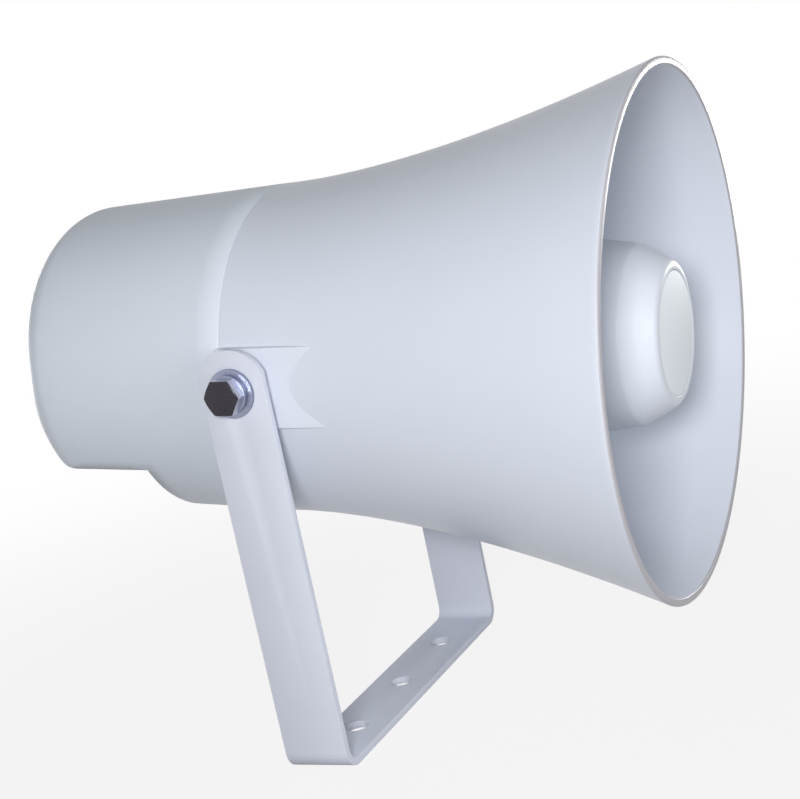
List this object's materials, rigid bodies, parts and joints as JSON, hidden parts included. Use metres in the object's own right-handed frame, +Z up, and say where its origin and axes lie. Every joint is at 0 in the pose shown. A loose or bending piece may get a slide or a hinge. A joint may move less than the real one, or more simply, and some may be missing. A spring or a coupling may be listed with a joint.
{
  "type": "horn loudspeaker",
  "caption": "Round weatherproof re-entrant horn loudspeaker with a flared bell, a closed centre reflector and a rear driver cover, tilting on a U bracket with bolt holes in its base.",
  "frame": {"origin": "centre of the middle base hole on the underside of the bracket", "axes": "+X towards the mouth, +Y towards the left arm along the pivot axis, +Z up, out of the base"},
  "size_m": [0.2722, 0.2036, 0.2422],
  "materials": {
    "bracket_paint": "smooth powder coat, satin",
    "horn_plastic": "moulded weather-resistant plastic, soft gloss",
    "cover_plastic": "moulded weather-resistant plastic, soft gloss",
    "reflector_plastic": "moulded plastic, soft gloss",
    "disc_plastic": "moulded plastic, plain",
    "tube_plastic": "moulded plastic",
    "plug_plastic": "black moulded plastic",
    "seal_rubber": "black closed-cell rubber",
    "driver_casting": "die cast",
    "dome_film": "amber phenolic film",
    "coil_wire": "enamelled copper wire",
    "plate_steel": "zinc plated",
    "magnet_ferrite": "sintered ferrite, dark grey",
    "tag_brass": "tinned brass",
    "core_steel": "stacked laminations",
    "bobbin_plastic": "moulded nylon",
    "screw_steel": "zinc plated",
    "stainless": "stainless steel",
    "block_plastic": "natural nylon",
    "gland_plastic": "grey nylon",
    "washer_fibre": "hard nylon"
  },
  "bodies": {
    "bracket": {"mounting_bracket": "bracket_paint"},
    "horn": {"horn_bell": "horn_plastic", "rear_cover": "cover_plastic", "reflector": "reflector_plastic", "nose_disc": "disc_plastic", "throat_tube": "tube_plastic", "driver_gasket": "seal_rubber", "driver_housing": "driver_casting", "phase_plug": "plug_plastic", "diaphragm": "dome_film", "voice_coil": "coil_wire", "spacer_ring": "plate_steel", "top_plate": "plate_steel", "magnet": "magnet_ferrite", "back_plate": "plate_steel", "driver_terminals": "tag_brass", "cover_gasket": "seal_rubber", "well_plugs": "cover_plastic", "transformer_core": "core_steel", "transformer_bobbin": "bobbin_plastic", "transformer_winding": "coil_wire", "transformer_strap": "plate_steel", "transformer_screws": "screw_steel", "terminal_block": "block_plastic", "terminal_clamps": "tag_brass", "gland_body": "gland_plastic", "gland_cap": "gland_plastic", "gland_seal": "seal_rubber", "gland_locknut": "gland_plastic", "cover_screws": "screw_steel", "driver_screws": "screw_steel", "reflector_screws": "screw_steel", "pivot_bolt_left": "stainless", "flat_washer_left": "stainless", "spring_washer_left": "stainless", "friction_washer_left": "washer_fibre", "threaded_insert_left": "tag_brass", "pivot_bolt_right": "stainless", "flat_washer_right": "stainless", "spring_washer_right": "stainless", "friction_washer_right": "washer_fibre", "threaded_insert_right": "tag_brass"}
  },
  "joints": [
    {"name": "horn_tilt", "type": "hinge", "parent": "bracket", "child": "horn", "pos_m": [0, 0, 0.1536], "axis": [0, 1, 0], "range_deg": [-230, 41]}
  ]
}
